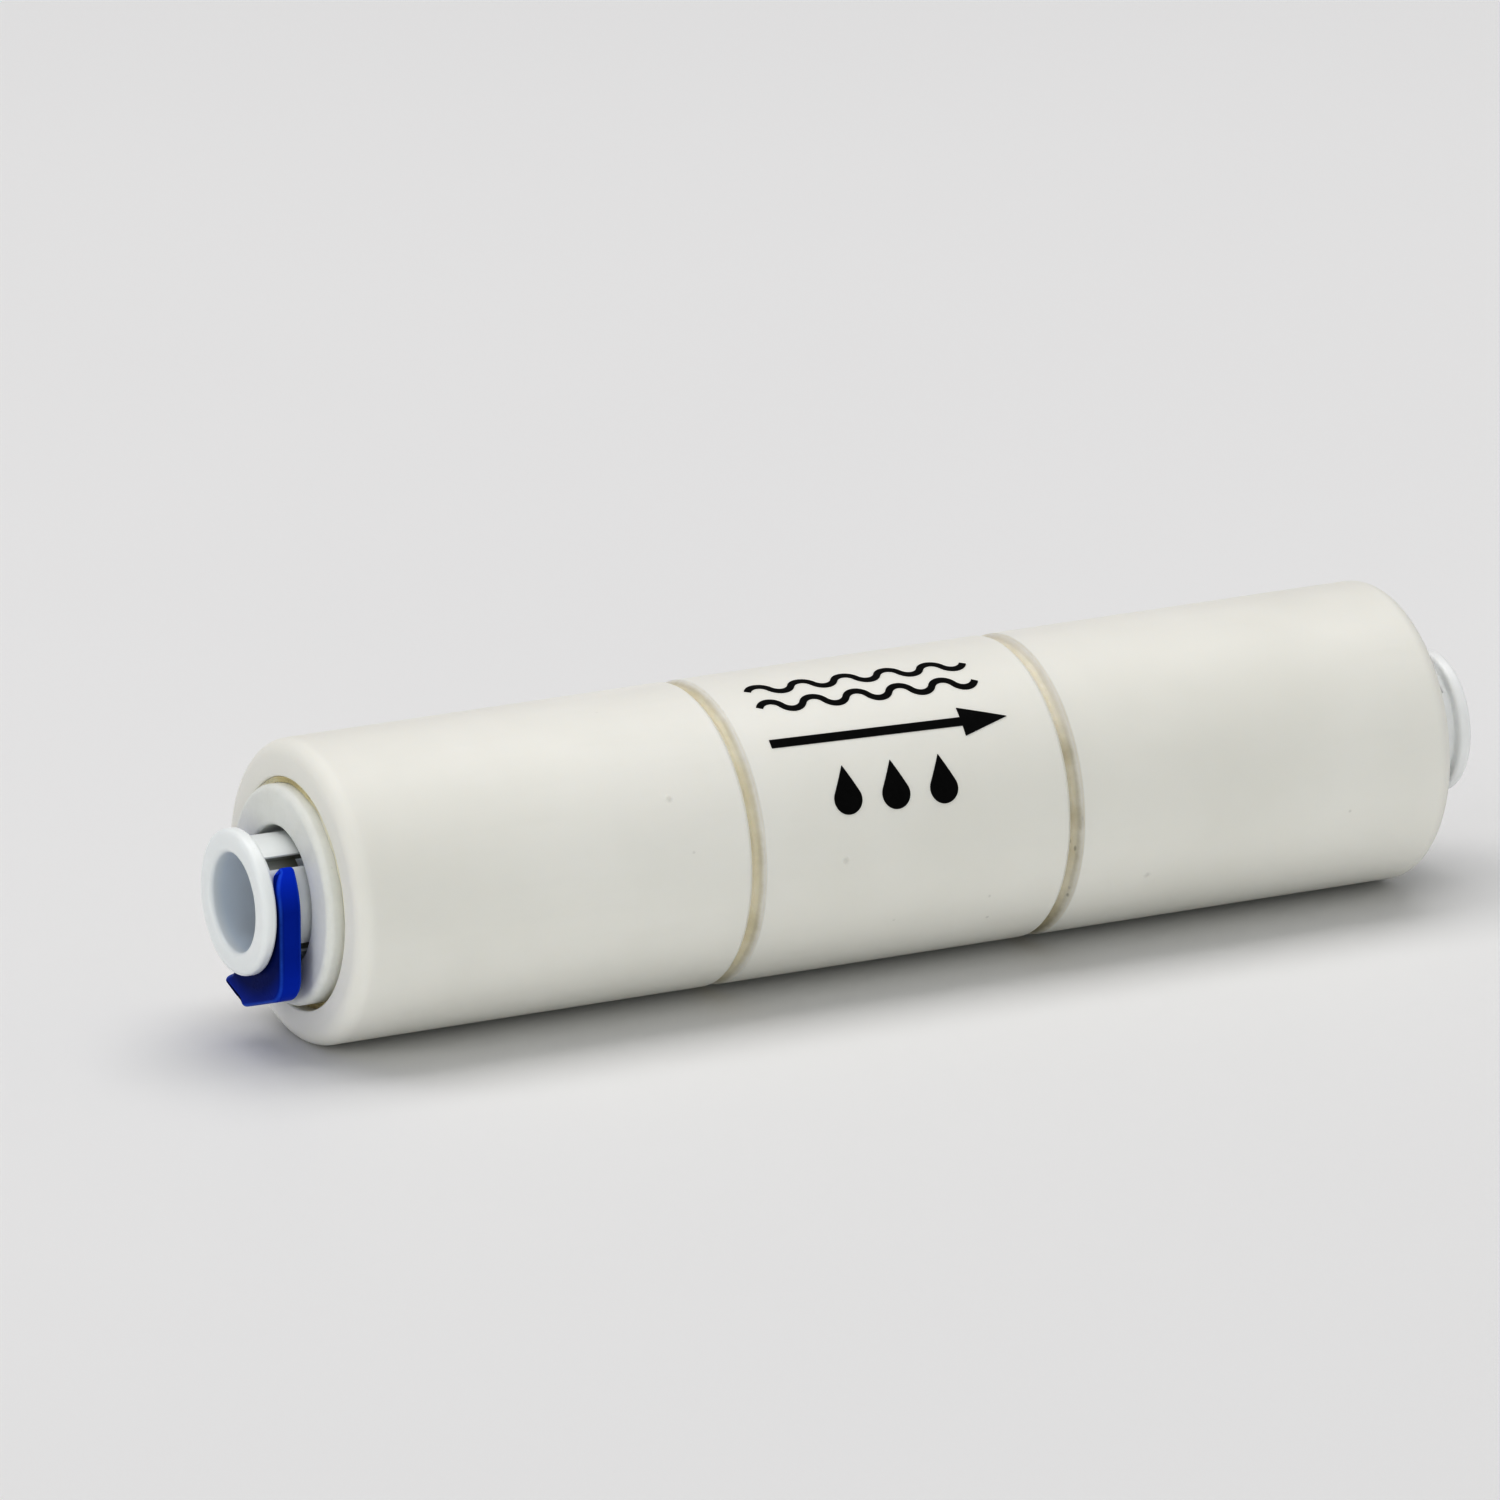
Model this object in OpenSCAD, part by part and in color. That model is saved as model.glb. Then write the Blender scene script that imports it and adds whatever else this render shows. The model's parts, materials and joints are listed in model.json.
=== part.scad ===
// Inline flow restrictor with a push-fit tube port at each end.
// Millimetres. It lies along X and water flows towards +X. The origin is the
// centre of the barrel, on the flow axis. Angles about X start at +Y.

/* [Barrel] */
// outside diameter of the barrel
body_d = 20; // [20:0.2:24]
// barrel length from end face to end face
barrel_len = 80.6; // [78:0.2:100]
// rounding of the barrel's end edges
end_round = 1.3; // [0.4:0.1:1.6]
// chamfer along each side of a seam groove
seam_chamfer = 0.3; // [0.2:0.05:0.6]
// width of the adhesive line in a seam groove
seam_w = 0.6; // [0.3:0.1:1]

/* [Push-fit ends] */
// bore of the collets, for a quarter inch tube
collet_bore = 6.5; // [6.4:0.05:6.6]
// diameter of the collets' flanges
flange_d = 9.6; // [9.4:0.1:10.4]
// thickness of the collets' flanges
flange_w = 1; // [0.8:0.1:1.4]
// bare collet neck between retainer and flange
neck_len = 2.4; // [2.2:0.1:3]
// width of the slits between the collets' fingers
slit_w = 1; // [0.6:0.1:1.2]
// angle of the first slit about the flow axis
slit_angle = 130; // [90:1:180]
// how far the retainers stand out of the barrel
retainer_proud = 0.9; // [0.4:0.1:1.2]

/* [Lock clip] */
// thickness of the lock clip along the flow axis
clip_w = 1.6; // [1.2:0.1:1.9]
// turn of the clip about the flow axis
clip_turn = 0; // [-20:1:20]
// angle of the clip's opening
clip_open = 106; // [70:1:110]
// how far down the clip's pull tab reaches from the axis
tab_drop = 7.45; // [7.2:0.05:7.7]

/* [Flow restrictor] */
// number of rings in the labyrinth
rings = 10; // [4:1:10]
// radial depth of the labyrinth's grooves
ring_depth = 0.8; // [0.4:0.1:1]

/* [Print] */
// angle of the arrow about the flow axis
arrow_angle = 133.5; // [120:0.5:140]
// thickness of the ink
ink = 0.04; // [0.03:0.01:0.1]
// slant of the print on the barrel
print_tilt = -1.7; // [-4:0.1:4]

/* [Hidden] */
$fn = 96;
R = body_d / 2;
e = barrel_len / 2;             // end face of the barrel
xr = e + retainer_proud;        // face of the retainer
fb = xr + neck_len;             // back of the collet's flange
ff = fb + flange_w;             // front of the collet's flange
cr = collet_bore / 2;
neck_r = 4.1;
fr = flange_d / 2;
s1 = 12;                        // inner end of a cap
s0 = s1 - seam_w;               // shoulder of the centre body
spigot_r = 7.95;
socket_r = 8;
c0 = fb - 8.956;                // retainer cone, wide end
c1 = fb - 7.384;                // retainer cone, narrow end
tooth_x = fb - 9.25;
ivory = [0.90, 0.89, 0.87];
collet_white = [0.90, 0.92, 0.93];

// turns a profile drawn as [radius, x] about the flow axis
module rev() rotate([0, 90, 0]) rotate_extrude() children();

// the same part at the other end
module at_inlet() mirror([1, 0, 0]) children();

// what to take off a profile's outer corner at [r, x] to round it by q
module outer_corner(r, x, q, s = 1)
    difference() {
        translate([r - q, s > 0 ? x - q : x - 1]) square([q + 1, q + 1]);
        translate([r - q, x - s * q]) circle(q);
    }

// what to take off a bore's edge at [r, x] to round it by q
module bore_corner(r, x, q)
    difference() {
        translate([r - 1, x - q]) square([q + 1, q + 1]);
        translate([r + q, x - q]) circle(q);
    }

// what to take off an outline's corner p, between its neighbours a and b, to
// round it by q
module blunt(a, p, b, q) {
    u = (a - p) / norm(a - p);
    v = (b - p) / norm(b - p);
    h = acos(u * v) / 2;
    m = (u + v) / norm(u + v);
    difference() {
        polygon([p - 0.2 * m, p + u * q / tan(h), p + v * q / tan(h)]);
        translate(p + m * q / sin(h)) circle(q);
    }
}

// cutters for the slits between the fingers
module slits(w)
    for (k = [0 : 3]) rotate([slit_angle + 90 * k, 0, 0])
        translate([fb - 11.5, 1, -w / 2]) cube([8.9, 6, w]);

// cutters for the shallow grooves that carry the slits on to the flange
module slit_grooves(w)
    for (k = [0 : 3]) rotate([slit_angle + 90 * k, 0, 0])
        translate([fb - 2.7, 3.55, -w / 2]) cube([2.4, 4, w]);

module end_cap() color(ivory) rev()
    difference() {
        polygon([[socket_r, s1], [R - seam_chamfer, s1],
            [R, s1 + seam_chamfer], [R, e], [7.6, e], [7.6, e - 10.3],
            [5.35, e - 10.3], [5.35, e - 12.7], [3.25, e - 12.7],
            [3.25, e - 17.3], [2.2, e - 17.3], [2.2, s1 + 8],
            [socket_r, s1 + 8]]);
        outer_corner(R, e, end_round);
    }

module seam_bond() color([0.76, 0.71, 0.60]) rev()
    translate([socket_r, s0]) square([R - 0.4 - socket_r, seam_w]);

module centre_body() color(ivory) rev()
    difference() {
        polygon([[4, -19.8], [7.5, -19.8], [spigot_r, -19.3], [spigot_r, -s0],
            [R - seam_chamfer, -s0], [R, -s0 + seam_chamfer],
            [R, s0 - seam_chamfer], [R - seam_chamfer, s0], [spigot_r, s0],
            [spigot_r, 19.3], [7.5, 19.8], [2.2, 19.8], [2.2, 11], [4, 11]]);
        for (x = [-16.9, 15.1]) translate([6.6, x]) square([2, 1.8]);
    }

module retainer() color([0.88, 0.88, 0.86]) rev()
    difference() {
        polygon([[5.4, e - 9.3], [7.55, e - 9.3], [7.55, e - 1.5],
            [7.2, e - 1.5], [7.2, xr], [4.57, xr], [4.57, c1], [5.4, c0]]);
        outer_corner(7.2, xr, 0.5);
        bore_corner(4.57, xr, 0.25);
    }

module retainer_bond() color([0.80, 0.76, 0.62]) rev()
    translate([7.2, e - 1.5]) square([0.4, 1.35]);

module collet() color(collet_white)
    difference() {
        rev() difference() {
            polygon([[cr, fb - 10.4], [4.4, fb - 10.4], [5.05, fb - 9.8],
                [5.05, fb - 8.4], [neck_r, fb - 6.6], [neck_r, fb], [fr, fb],
                [fr, ff], [cr, ff]]);
            outer_corner(fr, ff, 0.4);
            outer_corner(fr, fb, 0.25, -1);
            bore_corner(cr, ff, 0.35);
            translate([cr - 1, tooth_x - 0.4]) square([1.95, 0.55]);
        }
        slits(slit_w);
        slit_grooves(slit_w);
    }

module collet_teeth() color([0.72, 0.73, 0.74])
    difference() {
        rev() polygon([[cr - 0.2, tooth_x], [cr + 0.1, tooth_x - 0.13],
            [4.18, tooth_x - 0.13], [4.18, tooth_x + 0.13],
            [cr + 0.1, tooth_x + 0.13]]);
        slits(slit_w + 0.3);
    }

// horseshoe that snaps over the collet's neck: [y, z] with its opening up and
// a pull tab below
module clip_outline() {
    up = 91;
    ro = 4.95;
    d = 7.45 - tab_drop;
    pts = [[-ro, 0], [-ro, -4.08], [-3.67, -5.876 + d], [0.87, -7.44 + d],
        [1.24, -7.03 + d], [1.75, -7.0 + d], [3.9, -6.27 + d],
        [2.06, -5.41 + d], [2.3, -4.2], [0, 0]];
    difference() {
        union() {
            circle(ro);
            translate([1.9 - ro, -4.08 + d]) circle(1.9);
            difference() {
                polygon(pts);
                blunt(pts[2], pts[3], pts[4], 0.25);
                blunt(pts[5], pts[6], pts[7], 0.3);
            }
        }
        circle(neck_r + 0.05);
        polygon([[0, 0],
            12 * [cos(up - clip_open / 2), sin(up - clip_open / 2)],
            12 * [cos(up + clip_open / 2), sin(up + clip_open / 2)]]);
    }
    for (s = [-1, 1]) rotate(up + s * clip_open / 2)
        translate([4.55, 0]) circle(0.4);
}

module lock_clip() color([0.02, 0.12, 0.55]) at_inlet()
    translate([fb - 0.05 - clip_w, 0, 0]) rotate([clip_turn, 0, 0])
        rotate([90, 0, 90]) linear_extrude(clip_w) clip_outline();

module washer() color([0.86, 0.86, 0.84]) rev()
    translate([3.35, e - 10.27]) square([4.15, 0.94]);

module tube_seal() color([0.05, 0.05, 0.05]) rev()
    translate([4.2, e - 11.5]) circle(1.1);

module body_seal() color([0.05, 0.05, 0.05]) rev()
    translate([7.3, 16]) circle(0.68);

// plug with ring grooves joined on alternate sides, so the water winds through
module restrictor_core() color([0.93, 0.92, 0.88]) {
    x0 = -9.18;
    x1 = 10.98;
    p = 1.7;
    g0 = -7.4;
    rb = 3.97 - ring_depth;
    difference() {
        rev() difference() {
            translate([0, x0]) square([3.97, x1 - x0]);
            translate([-1, x0 - 1]) square([4.1, 1.8]);
            translate([-1, x1 - 0.8]) square([4.3, 1.8]);
            for (k = [0 : rings - 1]) translate([rb, g0 + p * k])
                square([2, 0.8]);
        }
        for (k = [0 : rings]) rotate([180 * (k % 2), 0, 0])
            translate([k == 0 ? x0 - 1 : g0 + p * (k - 1), rb, -0.35])
                cube([k == 0 ? 2.3 : k == rings ? 12 : p + 0.5, 2, 0.7]);
    }
}

module strainer_frame() color([0.90, 0.89, 0.86])
    union() {
        rev() translate([3.1, -13]) square([0.85, 3.6]);
        intersection() {
            translate([-10.4, 0, 0]) rotate([0, 90, 0]) cylinder(r = 3.3, h = 1);
            union() {
                translate([-10.4, -4, -0.3]) cube([1, 8, 0.6]);
                translate([-10.4, -0.3, -4]) cube([1, 0.6, 8]);
            }
        }
    }

module strainer_mesh() color([0.68, 0.69, 0.70])
    difference() {
        translate([-9.39, 0, 0]) rotate([0, 90, 0]) cylinder(r = 3.93, h = 0.2);
        for (i = [-3 : 3]) for (j = [-3 : 3])
            if (norm([i, j]) * 0.9 < 2.9)
                translate([-10, i * 0.9 - 0.27, j * 0.9 - 0.27])
                    cube([1.5, 0.54, 0.54]);
    }

// half a wave of a line w wide, humped up
module hump(q, w)
    translate([0, -q / 2]) intersection() {
        difference() {
            circle(q + w / 2);
            circle(q - w / 2);
        }
        polygon([[0, 0], [3 * q * sin(63), 3 * q * cos(63)], [0, 3 * q],
            [-3 * q * sin(63), 3 * q * cos(63)]]);
    }

module wave(n, q, w)
    for (i = [0 : n - 1]) translate([(i - (n - 1) / 2) * q * sqrt(3), 0])
        rotate(180 * (i % 2)) hump(q, w);

module drop(q) {
    circle(q);
    polygon([[0, 2.25 * q], [-0.896 * q, 0.444 * q], [0.896 * q, 0.444 * q]]);
}

// puts a flat print on the barrel where the angle about X is a
module printed(a)
    intersection() {
        rotate([a - 90, 0, 0]) translate([0, 0, R - 2.5])
            linear_extrude(4) rotate(print_tilt) children();
        rev() translate([R, -11]) square([ink, 22]);
    }

module flow_mark() color([0.04, 0.04, 0.04]) {
    printed(arrow_angle) {
        translate([-9.1, -0.31]) square([14.2, 0.62]);
        polygon([[4.75, -1.05], [8.05, 0], [4.75, 1.05]]);
    }
    printed(arrow_angle - 23.5) for (y = [-0.95, 0.95]) translate([-0.7, y])
        wave(10, 0.9, 0.46);
    printed(arrow_angle + 22) for (x = [-4.75, -1.25, 2.25])
        translate([x, -0.5]) drop(1);
}

centre_body();
at_inlet() end_cap();  // inlet_end_cap
end_cap();  // outlet_end_cap
at_inlet() seam_bond();  // inlet_seam_bond
seam_bond();  // outlet_seam_bond
at_inlet() retainer();  // inlet_retainer
retainer();  // outlet_retainer
at_inlet() retainer_bond();  // inlet_retainer_bond
retainer_bond();  // outlet_retainer_bond
at_inlet() collet();  // inlet_collet
collet();  // outlet_collet
at_inlet() collet_teeth();  // inlet_collet_teeth
collet_teeth();  // outlet_collet_teeth
lock_clip();
at_inlet() washer();  // inlet_washer
washer();  // outlet_washer
at_inlet() tube_seal();  // inlet_tube_seal
tube_seal();  // outlet_tube_seal
at_inlet() body_seal();  // inlet_body_seal
body_seal();  // outlet_body_seal
restrictor_core();
strainer_frame();
strainer_mesh();
flow_mark();
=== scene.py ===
import json
import math

import bmesh
import bpy
import numpy as np
from mathutils import Matrix, Vector, noise

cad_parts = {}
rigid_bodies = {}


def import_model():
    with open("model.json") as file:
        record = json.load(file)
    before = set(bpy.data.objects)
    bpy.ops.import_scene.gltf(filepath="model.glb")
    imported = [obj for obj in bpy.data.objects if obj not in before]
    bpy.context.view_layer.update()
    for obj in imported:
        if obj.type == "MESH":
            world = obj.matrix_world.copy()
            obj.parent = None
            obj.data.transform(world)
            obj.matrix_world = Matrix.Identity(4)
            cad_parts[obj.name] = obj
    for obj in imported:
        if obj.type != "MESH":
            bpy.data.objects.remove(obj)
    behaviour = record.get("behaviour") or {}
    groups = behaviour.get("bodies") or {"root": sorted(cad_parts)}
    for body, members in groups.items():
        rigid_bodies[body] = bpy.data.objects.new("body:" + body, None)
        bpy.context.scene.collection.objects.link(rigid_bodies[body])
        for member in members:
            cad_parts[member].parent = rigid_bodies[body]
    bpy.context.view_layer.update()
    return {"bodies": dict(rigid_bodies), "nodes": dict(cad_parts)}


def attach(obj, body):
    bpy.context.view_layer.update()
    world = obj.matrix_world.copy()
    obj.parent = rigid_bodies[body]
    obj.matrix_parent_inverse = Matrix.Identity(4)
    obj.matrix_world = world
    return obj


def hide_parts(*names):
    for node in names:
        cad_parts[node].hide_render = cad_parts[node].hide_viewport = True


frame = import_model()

scene = bpy.context.scene
NODES = frame["nodes"]

# ---------------------------------------------------------------- sizes, mm
R = 10.0
E = 40.3            # end face of the barrel
S0, S1 = 11.4, 12.0  # seam groove floor
XR = 41.2           # retainer face
FB, FF = 43.6, 44.6  # collet flange back and front
SLIT0 = 130.0
SLIT_W = 1.0
CLIP_W = 1.6
CLIP_UP, CLIP_OPEN = 91.0, 106.0


# ---------------------------------------------------------------- mesh tools
def finish_mesh(name, verts, faces, body, replaces, material, sharp=40.0):
    """Mesh from millimetre points, in metres, riding on a body."""
    mesh = bpy.data.meshes.new(name)
    mesh.from_pydata([tuple(v) for v in verts], [], [tuple(f) for f in faces])
    bm = bmesh.new()
    bm.from_mesh(mesh)
    bmesh.ops.remove_doubles(bm, verts=bm.verts, dist=1e-5)
    bmesh.ops.recalc_face_normals(bm, faces=bm.faces)
    bm.to_mesh(mesh)
    bm.free()
    mesh.transform(Matrix.Scale(0.001, 4))
    mesh.polygons.foreach_set("use_smooth", [True] * len(mesh.polygons))
    mesh.set_sharp_from_angle(angle=math.radians(sharp))
    mesh.materials.append(material)
    mesh.update()
    o = bpy.data.objects.new(name, mesh)
    scene.collection.objects.link(o)
    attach(o, body)
    if replaces:
        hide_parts(*replaces)
    return o


def rounded(points, seg_len=None):
    """Closed outline with each corner (a, b, radius, steps) rounded, and a
    support point beside every corner so flat faces shade flat."""
    n = len(points)
    out = []
    for i, p in enumerate(points):
        a, b = p[0], p[1]
        q = p[2] if len(p) > 2 else 0.0
        steps = p[3] if len(p) > 3 else 5
        pa, pb = points[i - 1], points[(i + 1) % n]
        v = np.array([a, b], float)
        u0 = np.array(pa[:2], float) - v
        u1 = np.array(pb[:2], float) - v
        l0, l1 = np.linalg.norm(u0), np.linalg.norm(u1)
        u0, u1 = u0 / l0, u1 / l1
        if q <= 0:
            corner = [v]
            t0 = t1 = v
        else:
            half = math.acos(max(-1, min(1, float(u0 @ u1)))) / 2
            d = q / math.tan(half)
            d = min(d, 0.49 * l0, 0.49 * l1)
            q = d * math.tan(half)
            t0, t1 = v + u0 * d, v + u1 * d
            c = v + (u0 + u1) / np.linalg.norm(u0 + u1) * (q / math.sin(half))
            a0 = math.atan2(*(t0 - c)[::-1])
            a1 = math.atan2(*(t1 - c)[::-1])
            da = (a1 - a0 + math.pi) % (2 * math.pi) - math.pi
            corner = [
                c + q * np.array([math.cos(a0 + da * k / steps), math.sin(a0 + da * k / steps)])
                for k in range(steps + 1)
            ]
        s = 0.06
        if l0 > 0.3:
            out.append(t0 + u0 * s)
        out.extend(corner)
        if l1 > 0.3:
            out.append(t1 + u1 * s)
    return out


def split_long(profile, longest):
    """Extra points along long straight runs of a closed profile."""
    out = []
    for i, p in enumerate(profile):
        q = profile[(i + 1) % len(profile)]
        n = max(1, int(math.ceil(np.linalg.norm(q - p) / longest)))
        out += [p + (q - p) * k / n for k in range(n)]
    return out


def lathe(name, profile, body, replaces, material, segs=288, shape=None, sharp=40.0):
    """Turns a closed (x, r) profile about X. shape(x, r, t) may return a new (x, r)."""
    t = np.arange(segs) * 2 * math.pi / segs
    verts = []
    m = len(profile)
    for a in t:
        ca, sa = math.cos(a), math.sin(a)
        for x, r in profile:
            if shape:
                x, r = shape(x, r, a)
            verts.append((x, r * ca, r * sa))
    faces = []
    for k in range(segs):
        k2 = (k + 1) % segs
        for i in range(m):
            j = (i + 1) % m
            faces.append((k * m + i, k2 * m + i, k2 * m + j, k * m + j))
    return finish_mesh(name, verts, faces, body, replaces, material, sharp)


def flip(profile):
    """The same profile at the inlet end."""
    return [np.array([-p[0], p[1]]) for p in profile]


def wob(x, a, r, scale, seed):
    """Smooth noise on a ring, about -1 to 1."""
    return noise.noise(Vector((x * scale, math.cos(a) * r * scale, math.sin(a) * r * scale + seed)))


# ---------------------------------------------------------------- materials
class Nodes:
    def __init__(self, name):
        self.m = bpy.data.materials.new(name)
        self.m.use_nodes = True
        self.t = self.m.node_tree
        self.t.nodes.clear()
        self.out = self.t.nodes.new("ShaderNodeOutputMaterial")
        self.b = self.t.nodes.new("ShaderNodeBsdfPrincipled")
        self.t.links.new(self.b.outputs[0], self.out.inputs[0])
        self.co = self.t.nodes.new("ShaderNodeTexCoord")

    def node(self, kind, **props):
        n = self.t.nodes.new("ShaderNode" + kind)
        for k, v in props.items():
            setattr(n, k, v)
        return n

    def link(self, a, b):
        self.t.links.new(a, b)

    def scaled(self, scale):
        """Object coordinates, stretched by (sx, sy, sz)."""
        mp = self.node("Mapping")
        mp.inputs["Scale"].default_value = scale
        self.link(self.co.outputs["Object"], mp.inputs["Vector"])
        return mp.outputs[0]

    def noise(self, scale, detail=3.0, rough=0.55, vector=None):
        n = self.node("TexNoise")
        n.inputs["Scale"].default_value = scale
        n.inputs["Detail"].default_value = detail
        n.inputs["Roughness"].default_value = rough
        self.link(vector or self.co.outputs["Object"], n.inputs["Vector"])
        return n.outputs["Fac"]

    def voronoi(self, scale, feature="F1", vector=None):
        n = self.node("TexVoronoi", feature=feature)
        n.inputs["Scale"].default_value = scale
        self.link(vector or self.co.outputs["Object"], n.inputs["Vector"])
        return n.outputs["Distance"]

    def ramp(self, fac, stops):
        n = self.node("ValToRGB")
        cr = n.color_ramp
        while len(cr.elements) < len(stops):
            cr.elements.new(0.5)
        for e, (p, c) in zip(cr.elements, stops):
            e.position = p
            e.color = c if len(c) == 4 else (*c, 1)
        self.link(fac, n.inputs[0])
        return n.outputs[0]

    def to_range(self, v, lo, hi, a=0.0, b=1.0):
        n = self.node("MapRange")
        n.inputs["From Min"].default_value = a
        n.inputs["From Max"].default_value = b
        n.inputs["To Min"].default_value = lo
        n.inputs["To Max"].default_value = hi
        self.link(v, n.inputs["Value"])
        return n.outputs[0]

    def math(self, op, a, b):
        n = self.node("Math", operation=op)
        for i, v in enumerate((a, b)):
            if isinstance(v, (int, float)):
                n.inputs[i].default_value = v
            else:
                self.link(v, n.inputs[i])
        return n.outputs[0]

    def mix(self, fac, a, b, kind="MIX"):
        n = self.node("Mix", data_type="RGBA", blend_type=kind)
        if isinstance(fac, (int, float)):
            n.inputs[0].default_value = fac
        else:
            self.link(fac, n.inputs[0])
        for i, v in ((6, a), (7, b)):
            if isinstance(v, tuple):
                n.inputs[i].default_value = v if len(v) == 4 else (*v, 1)
            else:
                self.link(v, n.inputs[i])
        return n.outputs[2]

    def bump(self, height, strength, distance, normal=None):
        n = self.node("Bump")
        n.inputs["Strength"].default_value = strength
        n.inputs["Distance"].default_value = distance
        self.link(height, n.inputs["Height"])
        if normal is not None:
            self.link(normal, n.inputs["Normal"])
        return n.outputs[0]

    def set(self, **values):
        for k, v in values.items():
            s = self.b.inputs[k.replace("_", " ")]
            if isinstance(v, (int, float)):
                s.default_value = v
            elif isinstance(v, tuple):
                s.default_value = v if len(v) in (3, 4) and len(v) == len(s.default_value) else (*v, 1)
            else:
                self.link(v, s)
        return self


def srgb(r, g, b):
    def f(c):
        c /= 255
        return c / 12.92 if c <= 0.04045 else ((c + 0.055) / 1.055) ** 2.4
    return (f(r), f(g), f(b))


def radius(n):
    """Distance from the flow axis, and distance from the middle, in metres."""
    sep = n.node("SeparateXYZ")
    n.link(n.co.outputs["Object"], sep.inputs[0])
    yy = n.math("MULTIPLY", sep.outputs[1], sep.outputs[1])
    zz = n.math("MULTIPLY", sep.outputs[2], sep.outputs[2])
    return n.math("SQRT", n.math("ADD", yy, zz), 0.0), n.math("ABSOLUTE", sep.outputs[0], 0.0)


def band(n, v, lo, hi, soft):
    """1 between lo and hi, fading over soft at each side."""
    return n.math("MULTIPLY", n.to_range(v, 0, 1, lo - soft, lo), n.to_range(v, 1, 0, hi, hi + soft))


def plastic(name, base, deep, rough, sss=0.0, sss_radius=(1.0, 0.9, 0.75), grain=0.05, ior=1.49, fleck=True,
            sheen=None, painted_collet_shading=None, mottle=0.0, shade=False, gate=None):
    """Moulded plastic: slow colour drift, flow streaks, fine surface grain,
    rubbed patches and a few dust flecks."""
    n = Nodes(name)
    drift = n.noise(55, 3)
    streak = n.noise(1, 4, 0.6, n.scaled((90, 420, 420)))
    c = n.mix(n.to_range(drift, 0, 1, 0.3, 0.7), base, deep)
    c = n.mix(n.to_range(streak, 0, 0.35, 0.5, 0.8), c, deep)
    if fleck:
        dots = n.voronoi(520)
        pick = n.noise(700, 1)
        spot = n.math("MULTIPLY", n.to_range(dots, 1, 0, 0.03, 0.09), n.to_range(pick, 0, 1, 0.62, 0.7))
        c = n.mix(n.math("MULTIPLY", spot, 0.35), c, tuple(0.45 * v for v in deep))
    if shade:
        rad, far = radius(n)
        up = n.node("SeparateXYZ")
        n.link(n.co.outputs["Object"], up.inputs[0])
        # painted shade: the clip is darkened below mid-height, most close to the collet and on the side against the
        # flange
        dark = n.math("MULTIPLY", n.to_range(rad, 1, 0.37, 0.0056, 0.0074), n.to_range(up.outputs[2], 1, 0, 0.0004, 0.0026))
        dark = n.math("MULTIPLY", dark, n.to_range(far, 0.52, 0.97, 0.04322, 0.04348))
        c = n.mix(dark, c, tuple(0.22 * v for v in deep))
        facing = n.node("SeparateXYZ")                  # painted highlight along the rounded edges, where they turn from the flat faces to the sides
        n.link(n.co.outputs["Normal"], facing.inputs[0])
        flat = n.math("MULTIPLY", facing.outputs[0], facing.outputs[0])
        turn = n.math("MULTIPLY", flat, n.math("SUBTRACT", 1.0, flat))
        edge_highlight = n.math("MULTIPLY", n.to_range(turn, 0, 1, 0.08, 0.25), n.to_range(n.noise(900, 4, 0.65), 0.6, 1, 0.35, 0.65))
        c = n.mix(n.math("MULTIPLY", edge_highlight, 0.42), c, tuple(v ** 0.62 for v in base))
    if mottle:
        blotch = n.noise(750, 5, 0.7)
        c = n.mix(n.to_range(blotch, 0, mottle, 0.42, 0.75), c, tuple(0.8 * v for v in deep))
    if painted_collet_shading:
        groove, bore = painted_collet_shading
        rad, far = radius(n)
        # painted shade in the slit grooves behind the flange
        g = n.math("MULTIPLY", band(n, rad, 0.00345, 0.00385, 0.00012), n.to_range(far, 1, 0, 0.04335, 0.04345))
        g = n.math("MULTIPLY", g, n.to_range(far, 1.0, 0.72, 0.0412, 0.0430))
        c = n.mix(n.math("MULTIPLY", g, 0.96), c, groove)
        # painted bluish shade in the bore near the mouth, fading to near white further in
        b = n.math("MULTIPLY", n.to_range(rad, 1, 0, 0.00327, 0.00345), n.to_range(far, 1, 0.0, 0.0436, 0.0446))
        c = n.mix(b, c, n.mix(n.to_range(far, 0, 1, 0.0385, 0.0432), (0.93, 0.95, 0.97), bore))
    if gate:
        near = n.node("VectorMath", operation="DISTANCE")
        near.inputs[1].default_value = gate
        n.link(n.co.outputs["Object"], near.inputs[0])
        pip = n.to_range(near.outputs["Value"], 1, 0, 0.00008, 0.00024)
        c = n.mix(n.math("MULTIPLY", pip, 0.24), c, tuple(0.6 * v for v in deep))
    rub = n.noise(160, 5, 0.65)
    r = n.math("ADD", n.to_range(rub, rough - 0.07, rough + 0.09, 0.3, 0.75), n.to_range(streak, 0.03, -0.02, 0.3, 0.7))
    fine = n.noise(5200, 2, 0.5)
    wave = n.noise(240, 2, 0.5)
    nb = n.bump(wave, 0.25, 0.00006)
    nb = n.bump(fine, grain, 0.00002, nb)
    if gate:
        nb = n.bump(n.to_range(near.outputs["Value"], 1, 0, 0.00010, 0.00030), 0.7, 0.00006, nb)
    n.set(Base_Color=c, Roughness=r, Normal=nb, IOR=ior)
    if sheen:
        n.set(Specular_Tint=(*sheen, 1))
    if sss:
        n.set(Subsurface_Weight=sss, Subsurface_Radius=sss_radius, Subsurface_Scale=0.0012)
    return n.m


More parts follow.
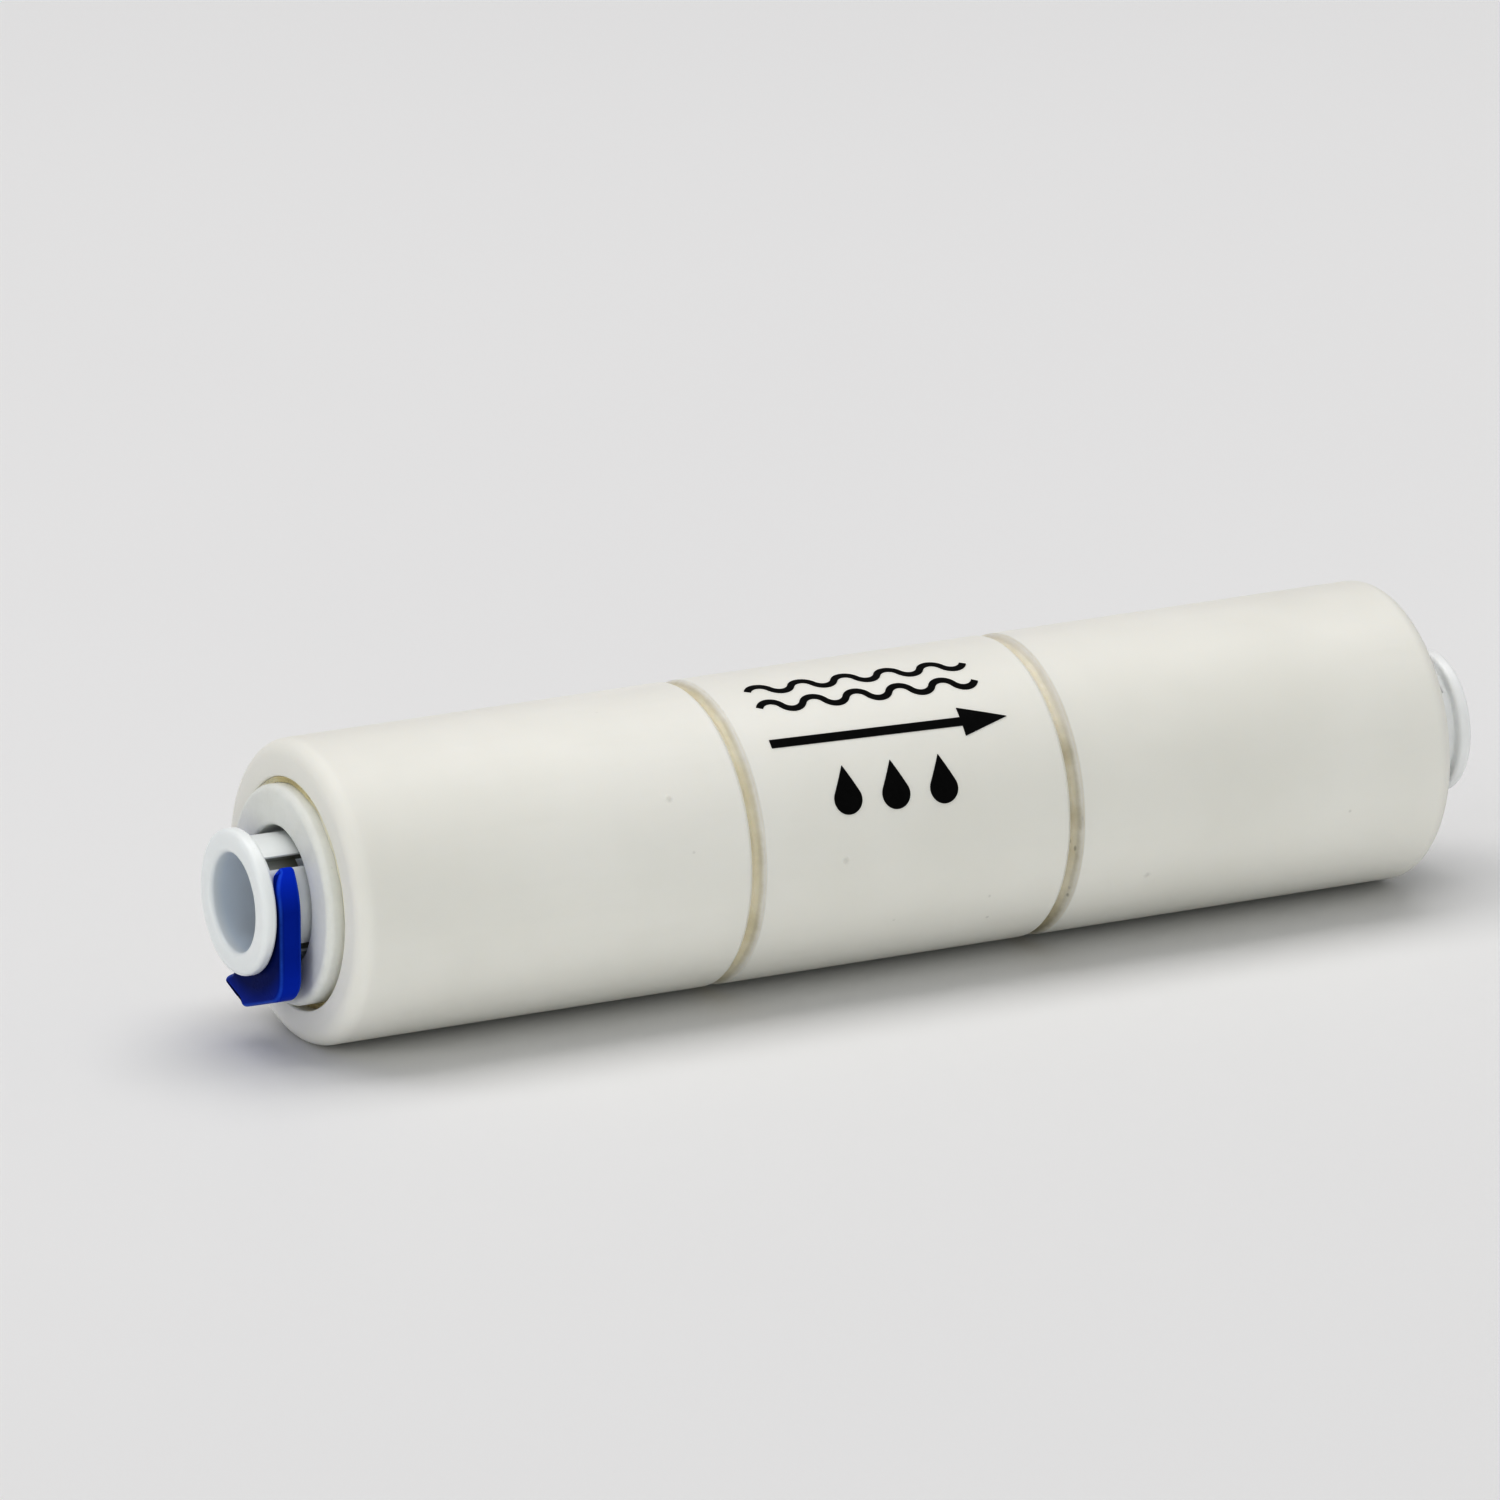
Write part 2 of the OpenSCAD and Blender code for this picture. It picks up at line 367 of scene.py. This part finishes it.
def glue(name, light, mid, dark, rough, feather=None, thin=None, specks=0.0):
    """Set adhesive: amber patches, tiny bubbles and a wet, uneven surface.
    thin is a paler colour mixed in between two heights, then the heights where that starts and ends and how softly;
    specks is how dark the dirt in it is."""
    n = Nodes(name)
    wide = n.noise(170, 2, 0.5)
    patch = n.noise(620, 4, 0.6)
    mixed = n.math("ADD", n.math("MULTIPLY", wide, 0.7), n.math("MULTIPLY", patch, 0.3))
    c = n.ramp(mixed, [(0.36, dark), (0.5, mid), (0.64, light)])
    bub = n.voronoi(1900)
    ring = n.to_range(bub, 1, 0, 0.05, 0.22)
    pick = n.to_range(n.noise(1300, 1), 0, 1, 0.5, 0.62)
    b = n.math("MULTIPLY", ring, pick)
    c = n.mix(n.math("MULTIPLY", b, 0.3), c, light)
    if specks:
        dirt = n.math("MULTIPLY", n.to_range(n.voronoi(1500, vector=n.scaled((1.6, 1, 0.7))), 1, 0, 0.12, 0.26),
                      n.to_range(n.noise(420, 2), 0, 1, 0.5, 0.6))
        c = n.mix(n.math("MULTIPLY", dirt, specks), c, tuple(0.35 * v for v in dark))
    if thin:
        up = n.node("SeparateXYZ")
        n.link(n.co.outputs["Object"], up.inputs[0])
        c = n.mix(n.math("MULTIPLY", band(n, up.outputs[2], *thin[1:]), 0.85), c, thin[0])
    if feather:
        rad, _ = radius(n)
        c = n.mix(n.to_range(n.math("ADD", rad, n.to_range(patch, -0.00008, 0.00008)), 0, 0.9, 0.00978, 0.00998), c, feather)
    r = n.to_range(n.noise(900, 3), rough - 0.12, rough + 0.2, 0.3, 0.7)
    nb = n.bump(n.noise(650, 4, 0.65), 0.6, 0.00012)
    nb = n.bump(bub, 0.35, 0.00004, nb)
    n.set(Base_Color=c, Roughness=r, Normal=nb, IOR=1.5,
          Subsurface_Weight=0.3, Subsurface_Radius=(1.0, 0.8, 0.5), Subsurface_Scale=0.0008)
    return n.m


def steel(name, tint, rough):
    n = Nodes(name)
    g = n.noise(1, 5, 0.6, n.scaled((9000, 1500, 1500)))
    c = n.mix(n.to_range(g, 0, 1, 0.35, 0.7), tuple(0.8 * v for v in tint), tint)
    r = n.to_range(n.noise(900, 4), rough - 0.08, rough + 0.12, 0.3, 0.7)
    n.set(Base_Color=c, Roughness=r, Metallic=1.0, Normal=n.bump(g, 0.15, 0.00001))
    return n.m


def rubber(name):
    n = Nodes(name)
    d = n.noise(900, 4, 0.6)
    c = n.mix(n.to_range(d, 0, 1, 0.35, 0.7), (0.010, 0.010, 0.011), (0.028, 0.027, 0.026))
    r = n.to_range(d, 0.45, 0.68, 0.3, 0.7)
    n.set(Base_Color=c, Roughness=r, Normal=n.bump(n.noise(7000, 3), 0.3, 0.00002), IOR=1.52)
    return n.m


def ink(name):
    """Pad-printed ink: nearly black, a touch thin in places."""
    n = Nodes(name)
    thin = n.noise(2600, 4, 0.65)
    c = n.ramp(thin, [(0.35, (0.002, 0.002, 0.002)), (0.64, (0.004, 0.004, 0.004)), (0.8, (0.018, 0.018, 0.017))])
    r = n.to_range(n.noise(1500, 3), 0.6, 0.78, 0.3, 0.7)
    n.set(Base_Color=c, Roughness=r, Normal=n.bump(thin, 0.2, 0.00001), IOR=1.22)
    return n.m


IVORY, IVORY_IN, IVORY_OUT = (
    plastic(name, srgb(239, 238, 233), srgb(233, 232, 226), 0.48, sss=0.12, ior=1.38, gate=gate)   # gate: moulding mark
    for name, gate in (("ivory_barrel", (-0.005355, -0.010000, -0.000069)), ("ivory_inlet_cap", (-0.017407, -0.008406, 0.005416)),
                       ("ivory_outlet_cap", (0.017587, -0.008901, -0.004558))))
RETAINER = plastic("retainer_white", srgb(236, 237, 234), srgb(228, 229, 224), 0.5, sss=0.12, ior=1.42, mottle=0.22)
# the groove and bore colours below are painted shade; the outlet collet's groove shade is lighter
COLLET = plastic("collet_white", srgb(243, 245, 244), srgb(235, 238, 238), 0.36, sss=0.2, sss_radius=(0.9, 0.95, 1.0),
                 painted_collet_shading=(srgb(96, 97, 84), srgb(224, 232, 241)))
COLLET_OUT = plastic("collet_white_outlet", srgb(244, 245, 245), srgb(238, 239, 239), 0.36, sss=0.2, sss_radius=(0.9, 0.95, 1.0),
                     painted_collet_shading=(srgb(150, 151, 140), srgb(220, 228, 236)))
# shade=True paints shade under the collet flange and a highlight along the clip's rounded edges
BLUE = plastic("clip_blue", srgb(30, 84, 222), srgb(14, 60, 192), 0.3, sss=0.0, grain=0.08, ior=1.1, fleck=False,
               sheen=(0.1, 0.4, 1.0), shade=True)
WASHER = plastic("washer_white", srgb(228, 228, 226), srgb(214, 214, 210), 0.45)
CORE = plastic("core_natural", srgb(230, 228, 220), srgb(214, 210, 198), 0.45)
SEAM = glue("seam_glue", srgb(235, 228, 208), srgb(228, 219, 195), srgb(212, 202, 175), 0.42, srgb(250, 246, 235))
SEAM_OUT = glue("seam_glue_outlet", srgb(224, 217, 199), srgb(210, 202, 181), srgb(188, 179, 154), 0.42, srgb(242, 237, 223),
                thin=(srgb(240, 232, 214), 0.0066, 0.0200, 0.0024), specks=0.5)
BEAD = glue("retainer_glue", srgb(230, 221, 188), srgb(216, 204, 162), srgb(184, 168, 118), 0.32,
            thin=(srgb(241, 237, 220), -0.0045, 0.0060, 0.0011))
TEETH = steel("teeth_steel", (0.62, 0.63, 0.64), 0.28)
SCREEN = steel("screen_steel", (0.55, 0.56, 0.57), 0.35)
RUBBER = rubber("seal_rubber")
INK = ink("print_ink")
for m in (IVORY, IVORY_IN, IVORY_OUT):
    m.node_tree.nodes["Principled BSDF"].inputs["Specular IOR Level"].default_value = 0.38

for names, mat in (
    (("inlet_collet_teeth", "outlet_collet_teeth"), TEETH),
    (("inlet_washer", "outlet_washer"), WASHER),
    (("inlet_tube_seal", "outlet_tube_seal", "inlet_body_seal", "outlet_body_seal"), RUBBER),
    (("restrictor_core", "strainer_frame"), CORE),
    (("strainer_mesh",), SCREEN),
    (("flow_mark",), INK),
):
    for nm in names:
        o = NODES[nm]
        if o.data.materials:
            for k in range(len(o.data.materials)):
                o.data.materials[k] = mat
        else:
            o.data.materials.append(mat)

# ---------------------------------------------------------------- barrel
cap = rounded([
    (S1, 8.0, 0.05), (S1, R - 0.3, 0.1), (S1 + 0.3, R, 0.24, 6), (E, R, 1.3, 14),
    (E, 7.6, 0.14), (E - 10.3, 7.6, 0.1), (E - 10.3, 5.35, 0.05),
    (E - 12.7, 5.35, 0.1), (E - 12.7, 3.25, 0.15), (E - 17.3, 3.25, 0.05),
    (E - 17.3, 2.2, 0.05), (20.0, 2.2, 0.05), (20.0, 8.0, 0.1)])
cap = split_long(cap, 2.0)
lathe("outlet_end_cap_shell", cap, "body", ("outlet_end_cap",), IVORY_OUT)
lathe("inlet_end_cap_shell", flip(cap), "body", ("inlet_end_cap",), IVORY_IN)

centre = rounded([
    (-19.8, 4.0, 0.05), (-19.8, 7.5, 0.05), (-19.3, 7.95, 0.05), (-16.9, 7.95), (-16.9, 6.6, 0.1),
    (-15.1, 6.6, 0.1), (-15.1, 7.95), (-S0, 7.95), (-S0, R - 0.3, 0.1), (-S0 + 0.3, R, 0.24, 6),
    (S0 - 0.3, R, 0.24, 6), (S0, R - 0.3, 0.1), (S0, 7.95), (15.1, 7.95), (15.1, 6.6, 0.1),
    (16.9, 6.6, 0.1), (16.9, 7.95), (19.3, 7.95, 0.05), (19.8, 7.5, 0.05), (19.8, 2.2, 0.05),
    (11.0, 2.2, 0.05), (11.0, 4.0)])
centre = split_long(centre, 2.0)
lathe("centre_barrel", centre, "body", ("centre_body",), IVORY)


def seam_shape(side):
    """Uneven meniscus; the skin that climbs the chamfer keeps its thickness."""
    def f(x, r, a):
        if r < 8.5:
            return x, r
        w = wob(x, a, 10, 0.55, 3.0 * side) + 0.6 * wob(x, a, 10, 2.6, 7.0 * side)
        fade = max(0.0, min(1.0, (9.74 - r) / 0.12))
        return x, r + 0.06 * w * fade
    return f


def seam_profile(x0):
    """Glue between x0 and x0 + 0.6, feathered up the chamfer on the +X side."""
    x1 = x0 + 0.6
    return rounded([
        (x0 + 0.01, 8.0), (x0 + 0.01, 9.64, 0.05, 3), (x0 + 0.22, 9.57, 0.1, 4), (x1 - 0.10, 9.69, 0.2, 5),
        (x1 + 0.19, 9.945, 0.16, 4), (x1 + 0.32, 9.992), (x1 + 0.28, 9.962), (x1 - 0.01, 9.68), (x1 - 0.01, 8.0)])


lathe("outlet_seam_glue", seam_profile(S0), "body", ("outlet_seam_bond",), SEAM_OUT, 420, seam_shape(1), 60)
lathe("inlet_seam_glue", seam_profile(-S1), "body", ("inlet_seam_bond",), SEAM, 420, seam_shape(-1), 60)

# ---------------------------------------------------------------- retainers
ret = rounded([
    (E - 9.3, 5.4, 0.05), (E - 9.3, 7.55, 0.1), (E - 1.5, 7.55, 0.03), (E - 1.5, 7.2, 0.03),
    (XR, 7.2, 0.5, 10), (XR, 4.57, 0.25, 6), (FB - 7.384, 4.57, 0.1), (FB - 8.956, 5.4, 0.1)])
ret = split_long(ret, 1.5)
lathe("outlet_retainer_ring", ret, "body", ("outlet_retainer",), RETAINER)
lathe("inlet_retainer_ring", flip(ret), "body", ("inlet_retainer",), RETAINER)


def bead_shape(side):
    """Adhesive squeezed out unevenly: full at the top, starved at the bottom."""
    def f(x, r, a):
        s = abs(x)
        if s > E - 0.9:
            low = 0.5 - 0.5 * math.sin(a - 0.12)
            d = 0.10 * wob(x, a, 7.4, 0.7, 5.0 * side) - 0.75 * low ** 2.2
            s += d
            x = s * (1 if x > 0 else -1)
        return x, r
    return f


bead = rounded([(E - 1.49, 7.21), (E - 1.49, 7.59), (E - 0.06, 7.59, 0.05, 3), (E - 0.2, 7.4, 0.1, 4), (E - 0.06, 7.21, 0.05, 3)])
lathe("outlet_retainer_glue", bead, "body", ("outlet_retainer_bond",), BEAD, 300, bead_shape(1), 60)
lathe("inlet_retainer_glue", flip(bead), "body", ("inlet_retainer_bond",), BEAD, 300, bead_shape(-1), 60)


# ---------------------------------------------------------------- collets
def collet(name, side, body, replaced, material):
    """Sleeve with four fingers. The slits cut right through between the
    fingers, then run on to the flange as shallow grooves."""
    xt, xg, rg = FB - 2.6, FB - 0.3, 3.55
    tip = FB - 10.4
    tooth = FB - 9.25
    front = rounded([(FF + 1, 3.25), (xt, 3.25), (FF, 3.25, 0.35, 8), (FF, 4.8, 0.42, 8), (FB, 4.8, 0.28, 6),
                     (FB, 4.1, 0.12, 4), (xg, 4.1), (xg - 1, 3.0)])
    a0 = next(i for i, p in enumerate(front) if abs(p[0] - xt) < 1e-9)
    a1 = next(i for i, p in enumerate(front) if abs(p[0] - xg) < 1e-9 and abs(p[1] - 4.1) < 1e-9)
    front = front[a0:a1 + 1]                      # bore side, mouth, flange, neck up to the groove
    neck_bits = [np.array([xg - 0.06, 4.1]), np.array([xg - 1.2, 4.1]), np.array([xt, 4.1])]
    groove_bits = [np.array([xg, rg]), np.array([xg - 1.2, rg]), np.array([xt, rg])]
    finger = rounded([
        (xt, 4.1), (FB - 6.6, 4.1, 0.3), (FB - 8.4, 5.05, 0.3), (FB - 9.8, 5.05, 0.2), (tip, 4.4, 0.15),
        (tip, 3.25, 0.1), (tooth - 0.4, 3.25), (tooth - 0.4, 4.2), (tooth + 0.15, 4.2), (tooth + 0.15, 3.25),
        (xt, 3.25)])
    f0 = next(i for i, p in enumerate(finger) if abs(p[0] - xt) < 1e-9 and abs(p[1] - 4.1) < 1e-9)
    f1 = next(i for i, p in enumerate(finger) if abs(p[0] - xt) < 1e-9 and abs(p[1] - 3.25) < 1e-9)
    finger = finger[f0:f1 + 1]
    nf, ng = 44, 8
    cols = []
    for q in range(4):
        for k in range(nf + 1):
            cols.append((q, "f", k / nf))
        for k in range(1, ng):
            cols.append((q, "g", k / ng))

    def angle(col, r):
        q, kind, u = col
        base = SLIT0 + 90 * q
        d = math.degrees(math.asin(SLIT_W / 2 / r))
        if kind == "f":
            return base + d + u * (90 - 2 * d)
        return base + 90 - d + u * 2 * d

    verts, index = [], {}

    def vid(c, p):
        key = (c, round(float(p[0]), 6), round(float(p[1]), 6))
        if key not in index:
            a = math.radians(angle(cols[c], p[1]))
            index[key] = len(verts)
            verts.append((side * p[0], p[1] * math.cos(a), p[1] * math.sin(a)))
        return index[key]

    faces = []
    nc = len(cols)

    def strip(c, d, run):
        for p, q in zip(run[:-1], run[1:]):
            faces.append((vid(c, p), vid(d, p), vid(d, q), vid(c, q)))

    neck_run = [front[-1]] + neck_bits
    groove_run = [front[-1]] + groove_bits
    for c in range(nc):
        d = (c + 1) % nc
        strip(c, d, front)
        on_finger = cols[c][1] == "f" and cols[c][2] < 1
        if on_finger:
            strip(c, d, neck_run + list(finger[1:]))
        else:
            strip(c, d, groove_run + [front[0]])  # groove floor, then the slit's inner end
        if cols[c][1] == "f" and cols[c][2] in (0, 1):
            faces.append([vid(c, p) for p in finger] + [vid(c, groove_run[-1])])
            faces.append([vid(c, p) for p in neck_run + groove_run[::-1][:-1]])
    return finish_mesh(name, verts, faces, body, (replaced,), material, 35)


collet("inlet_collet_sleeve", -1, "inlet_collet", "inlet_collet", COLLET)
collet("outlet_collet_sleeve", 1, "outlet_collet", "outlet_collet", COLLET_OUT)


# ---------------------------------------------------------------- lock clip
def clip_outline():
    """Horseshoe outline as (y, z), counter-clockwise, evenly spaced points:
    opening up, straight camera-side cheek, two-facet pull tab below."""
    ro, ri = 4.95, 4.15
    a_far, a_near = CLIP_UP - CLIP_OPEN / 2, CLIP_UP + CLIP_OPEN / 2
    arc = lambda c, r, a, b, n: [
        (c[0] + r * math.cos(math.radians(a + (b - a) * k / n)), c[1] + r * math.sin(math.radians(a + (b - a) * k / n)))
        for k in range(n + 1)]
    loop = arc((0, 0), ro, a_near, 180, 24)
    cheek = arc((1.9 - ro, -4.08), 1.9, 180, 251, 24)
    tab = rounded([(-3.67, -5.876), (0.87, -7.44, 0.25, 7), (1.24, -7.03, 0.2, 5), (1.75, -7.0, 0.6, 5),
                   (3.9, -6.27, 0.3, 9), (2.06, -5.41, 0.35, 7), (2.3, -4.384), (0, 0)])
    keep = [p for p in tab if math.hypot(*p) > 4.9 and p[0] > -3.6 and not (p[0] > 2.29 and p[1] > -4.6)]
    tail_end = math.degrees(math.atan2(-4.384, 2.3))
    loop += cheek + [tuple(p) for p in keep] + arc((0, 0), ro, tail_end, a_far, 70)
    m = (ro + ri) / 2
    tip = lambda a, s: (m * math.cos(math.radians(a)), m * math.sin(math.radians(a)))
    loop += arc(tip(a_far, 1), (ro - ri) / 2, a_far, a_far + 180, 12)[1:-1]
    loop += arc((0, 0), ri, a_far, a_near - 360, 180)
    loop += arc(tip(a_near, 1), (ro - ri) / 2, a_near - 180, a_near, 12)[1:-1]
    loop = np.array(loop)
    for _ in range(2):
        seg = np.linalg.norm(np.roll(loop, -1, 0) - loop, axis=1)
        s = np.r_[0, np.cumsum(seg)]
        n = int(s[-1] / 0.10)
        u = np.linspace(0, s[-1], n, endpoint=False)
        ext = np.vstack([loop, loop[:1]])
        loop = np.c_[np.interp(u, s, ext[:, 0]), np.interp(u, s, ext[:, 1])]
        loop = 0.25 * np.roll(loop, 1, 0) + 0.5 * loop + 0.25 * np.roll(loop, -1, 0)
    return loop


def clip():
    loop = clip_outline()
    n = len(loop)
    tan = np.roll(loop, -1, 0) - np.roll(loop, 1, 0)
    tan /= np.linalg.norm(tan, axis=1)[:, None]
    nrm = np.c_[tan[:, 1], -tan[:, 0]]   # outward for a counter-clockwise loop
    q, steps = 0.36, 7
    x_in, x_out = -(FB - 0.05 - CLIP_W), -(FB - 0.05)
    prof = [(x_out + q * (1 - math.sin(math.pi / 2 * k / steps)),
             q * (1 - math.cos(math.pi / 2 * k / steps))) for k in range(steps, -1, -1)]
    prof = prof + [(x_out + q + 0.06, 0.0), (x_in - q - 0.06, 0.0)]
    prof += [(x_in - q * (1 - math.sin(math.pi / 2 * k / steps)),
              q * (1 - math.cos(math.pi / 2 * k / steps))) for k in range(steps + 1)]
    verts = []
    for x, off in prof:
        for (a, b), (na, nb) in zip(loop, nrm):
            thin = 0.55 * max(0.0, min(1.0, (b - 1.6) / 1.3)) ** 2 * (x_in - x) / (x_in - x_out)
            verts.append((x + thin, a - na * off, b - nb * off))
    faces = []
    for i in range(len(prof) - 1):
        for k in range(n):
            k2 = (k + 1) % n
            faces.append((i * n + k, i * n + k2, (i + 1) * n + k2, (i + 1) * n + k))
    faces.append(list(range(n)))
    faces.append(list(range((len(prof) - 1) * n, len(prof) * n)))
    return finish_mesh("lock_clip_horseshoe", verts, faces, "clip", ("lock_clip",), BLUE, 50)


clip()

# ---------------------------------------------------------------- floor
bm = bmesh.new()
bmesh.ops.create_grid(bm, x_segments=4, y_segments=4, size=4.0)
fm = bpy.data.meshes.new("floor")
bm.to_mesh(fm)
bm.free()
floor = bpy.data.objects.new("floor", fm)
scene.collection.objects.link(floor)
stand = bpy.data.objects.new("floor_level", None)
stand.location = (0, 0, -0.0100)
scene.collection.objects.link(stand)
floor.parent = stand
sink = stand.constraints.new("TRANSFORM")   # gives way when the drawn clip reaches down past it
sink.target = frame["bodies"]["clip"]
sink.map_from = sink.map_to = "LOCATION"
sink.map_to_z_from = "Z"
sink.from_min_z, sink.from_max_z = -0.0120, -0.0024
sink.to_min_z, sink.to_max_z = -0.0096, 0.0
sink.mix_mode = "ADD"
fl = Nodes("pale_floor")
fn = fl.noise(9, 3)
fl.set(Base_Color=fl.mix(fn, srgb(236, 236, 236), srgb(233, 233, 233)),
       Roughness=fl.to_range(fn, 0.5, 0.6), IOR=1.15)
fm.materials.append(fl.m)

# ---------------------------------------------------------------- camera
PHI, EL, DIST = math.radians(27.687), math.radians(16.623), 1.00049
fwd = Vector((math.sin(PHI) * math.cos(EL), math.cos(PHI) * math.cos(EL), -math.sin(EL)))
cam = bpy.data.objects.new("camera", bpy.data.cameras.new("camera"))
cam.data.sensor_width = 36
cam.data.lens = 15380 / 1500 * 36
cam.location = Vector((-0.007087, 0, 0.005016)) - fwd * DIST
cam.rotation_mode = "QUATERNION"
cam.rotation_quaternion = fwd.to_track_quat("-Z", "Y")
cam.data.clip_start, cam.data.clip_end = 0.05, 20
scene.collection.objects.link(cam)
scene.camera = cam


# ---------------------------------------------------------------- light
def area(name, loc, target, size, power, colour=(1, 1, 1)):
    d = bpy.data.lights.new(name, "AREA")
    d.shape = "RECTANGLE"
    d.size, d.size_y = size
    d.energy = power
    d.color = colour
    o = bpy.data.objects.new(name, d)
    o.location = loc
    o.rotation_mode = "QUATERNION"
    o.rotation_quaternion = (Vector(target) - Vector(loc)).to_track_quat("-Z", "Y")
    o.visible_camera = False
    scene.collection.objects.link(o)
    return o


area("key_above", (0.02, 0.16, 0.80), (0, 0, 0), (1.1, 0.5), 4.05, (1.0, 0.981, 0.972))
area("front_floor", (-0.30, -1.2, 0.10), (0, 0, 0), (1.6, 0.16), 3.5, (0.970, 1.0, 0.958))
area("side_left", (-1.2, -0.15, 0.35), (0, 0, 0), (0.5, 0.5), 2.0, (0.98, 0.99, 1.0))
world = bpy.data.worlds.new("studio")
scene.world = world
world.use_nodes = True
bg = world.node_tree.nodes["Background"]
bg.inputs[0].default_value = (0.985, 0.99, 1.0, 1)
bg.inputs[1].default_value = 0.53
scene.view_settings.view_transform = "Standard"
scene.view_settings.look = "None"
scene.view_settings.gamma = 0.70
